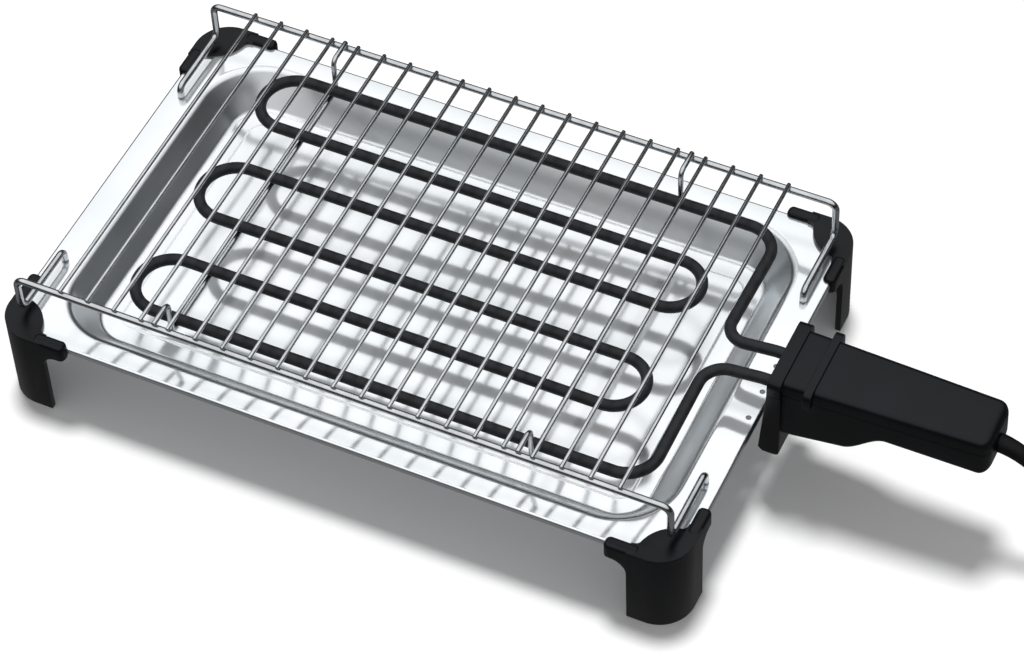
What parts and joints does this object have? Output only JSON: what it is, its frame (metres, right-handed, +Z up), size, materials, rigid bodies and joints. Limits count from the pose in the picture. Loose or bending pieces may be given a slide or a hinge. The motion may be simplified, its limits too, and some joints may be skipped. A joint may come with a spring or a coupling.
{
  "type": "electric table grill",
  "caption": "Flat electric table grill: steel drip tray on corner feet, lift-off wire rack over a bent tubular heater with a straight handle and cord.",
  "frame": {"origin": "on the table, under the middle of the grill from its left feet to the end of its handle, cord left out", "axes": "+X along the grill towards the handle, +Y towards the rear long side, +Z up"},
  "size_m": [0.6413, 0.3325, 0.0935],
  "materials": {
    "stainless": "polished",
    "black_plastic": "satin",
    "chrome_wire": "bright",
    "heater_sheath": "matte oxide",
    "zinc_steel": "plated",
    "ceramic": "matte",
    "brass": "bright",
    "lead_brown": "silicone",
    "lead_blue": "silicone",
    "lead_green": "silicone",
    "rubber": "matte",
    "plug_nickel": "satin"
  },
  "bodies": {
    "base": {"drip_tray": "stainless", "foot_front_left": "black_plastic", "foot_front_right": "black_plastic", "foot_rear_left": "black_plastic", "foot_rear_right": "black_plastic"},
    "rack": {"rack_wire_front": "chrome_wire", "rack_wire_rear": "chrome_wire", "cross_wire_01": "chrome_wire", "cross_wire_02": "chrome_wire", "cross_wire_03": "chrome_wire", "cross_wire_04": "chrome_wire", "cross_wire_05": "chrome_wire", "cross_wire_06": "chrome_wire", "cross_wire_07": "chrome_wire", "cross_wire_08": "chrome_wire", "cross_wire_09": "chrome_wire", "cross_wire_10": "chrome_wire", "cross_wire_11": "chrome_wire", "cross_wire_12": "chrome_wire", "cross_wire_13": "chrome_wire", "cross_wire_14": "chrome_wire", "cross_wire_15": "chrome_wire", "cross_wire_16": "chrome_wire", "cross_wire_17": "chrome_wire", "cross_wire_18": "chrome_wire", "cross_wire_19": "chrome_wire", "cross_wire_20": "chrome_wire", "cross_wire_21": "chrome_wire", "support_bar_left": "chrome_wire", "support_bar_right": "chrome_wire"},
    "element": {"heating_element": "heater_sheath", "housing_lower": "black_plastic", "housing_upper": "black_plastic", "shell_screw_front": "zinc_steel", "shell_screw_rear": "zinc_steel", "terminal_pin_front": "zinc_steel", "terminal_pin_rear": "zinc_steel", "terminal_bead_front": "ceramic", "terminal_bead_rear": "ceramic", "connector_front": "brass", "connector_rear": "brass", "mounting_plate": "zinc_steel", "lead_live": "lead_brown", "lead_neutral": "lead_blue", "lead_earth": "lead_green", "cord_clamp": "black_plastic", "clamp_screw_front": "zinc_steel", "clamp_screw_rear": "zinc_steel", "cord_inner": "rubber", "strain_relief": "rubber", "power_cord": "rubber", "cord_coil": "rubber", "cord_tail": "rubber", "plug_body": "rubber", "plug_pin_front": "plug_nickel", "plug_pin_rear": "plug_nickel", "plug_earth_top": "brass", "plug_earth_bottom": "brass"}
  },
  "joints": [
    {"name": "rack_lift", "type": "slide", "parent": "base", "child": "rack", "axis": [0, 0, 1], "range_m": [0, 0.12]},
    {"name": "element_pull", "type": "slide", "parent": "rack", "child": "element", "axis": [1, 0, 0], "range_m": [0, 0.34]}
  ]
}
